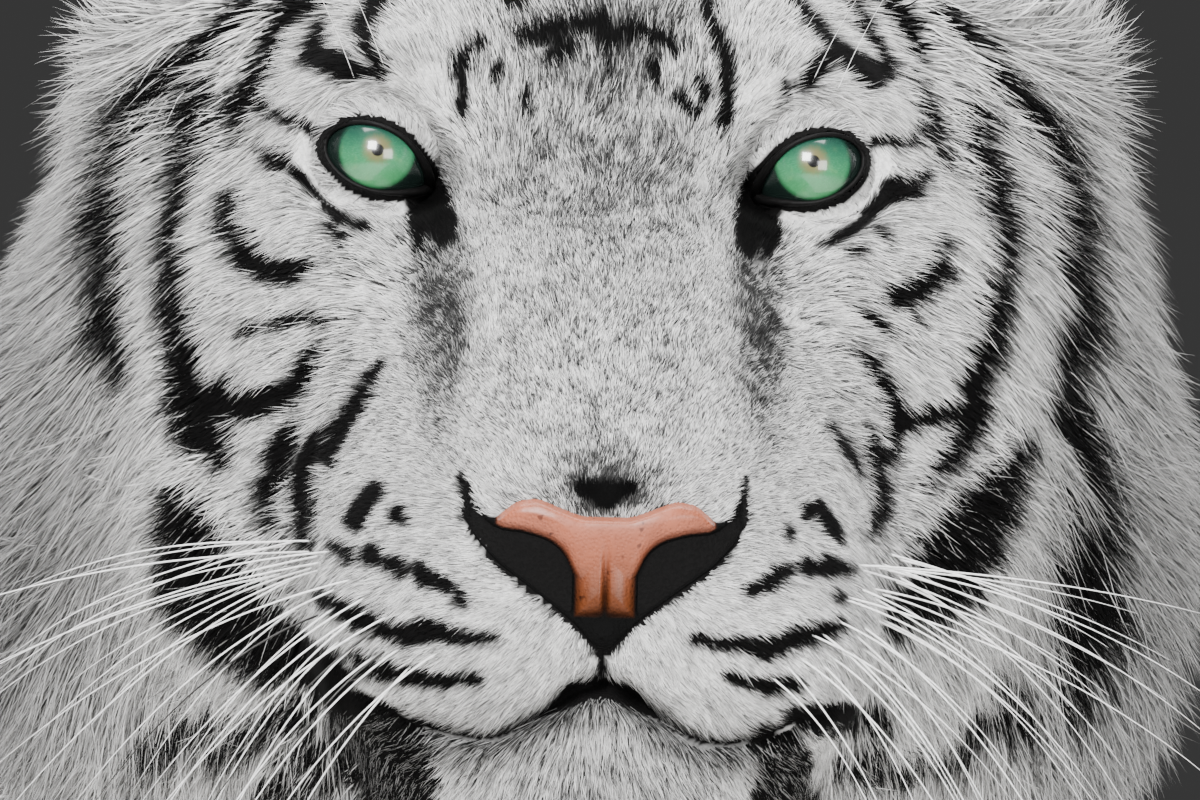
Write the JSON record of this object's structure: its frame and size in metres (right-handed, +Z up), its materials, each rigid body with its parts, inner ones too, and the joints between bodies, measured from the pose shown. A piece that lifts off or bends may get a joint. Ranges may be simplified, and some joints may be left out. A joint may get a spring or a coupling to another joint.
{
  "type": "white tiger",
  "caption": "Life-size standing white tiger as a still display figure, with a dark-striped pale coat, green eyes, a pink nose and a lowered tail.",
  "frame": {"origin": "on the floor between the paws, under the centre of the box round the whole animal", "axes": "+Z up, -Y the way the animal faces, +X its left side"},
  "size_m": [0.504, 2.2014, 1.1083],
  "materials": {
    "coat": "short pale fur with dark stripes",
    "nose_leather": "moist bare skin",
    "eye": "clear gloss"
  },
  "bodies": {
    "root": {"head": "coat", "jaw": "coat", "nose": "nose_leather", "ear_left": "coat", "ear_right": "coat", "eye_left": "eye", "eye_right": "eye", "neck": "coat", "chest": "coat", "belly": "coat", "rump": "coat", "fore_upper_left": "coat", "fore_lower_left": "coat", "fore_paw_left": "coat", "fore_upper_right": "coat", "fore_lower_right": "coat", "fore_paw_right": "coat", "hind_upper_left": "coat", "hind_lower_left": "coat", "hind_shank_left": "coat", "hind_paw_left": "coat", "hind_upper_right": "coat", "hind_lower_right": "coat", "hind_shank_right": "coat", "hind_paw_right": "coat", "tail_1": "coat", "tail_2": "coat", "tail_3": "coat", "tail_4": "coat"}
  },
  "joints": []
}
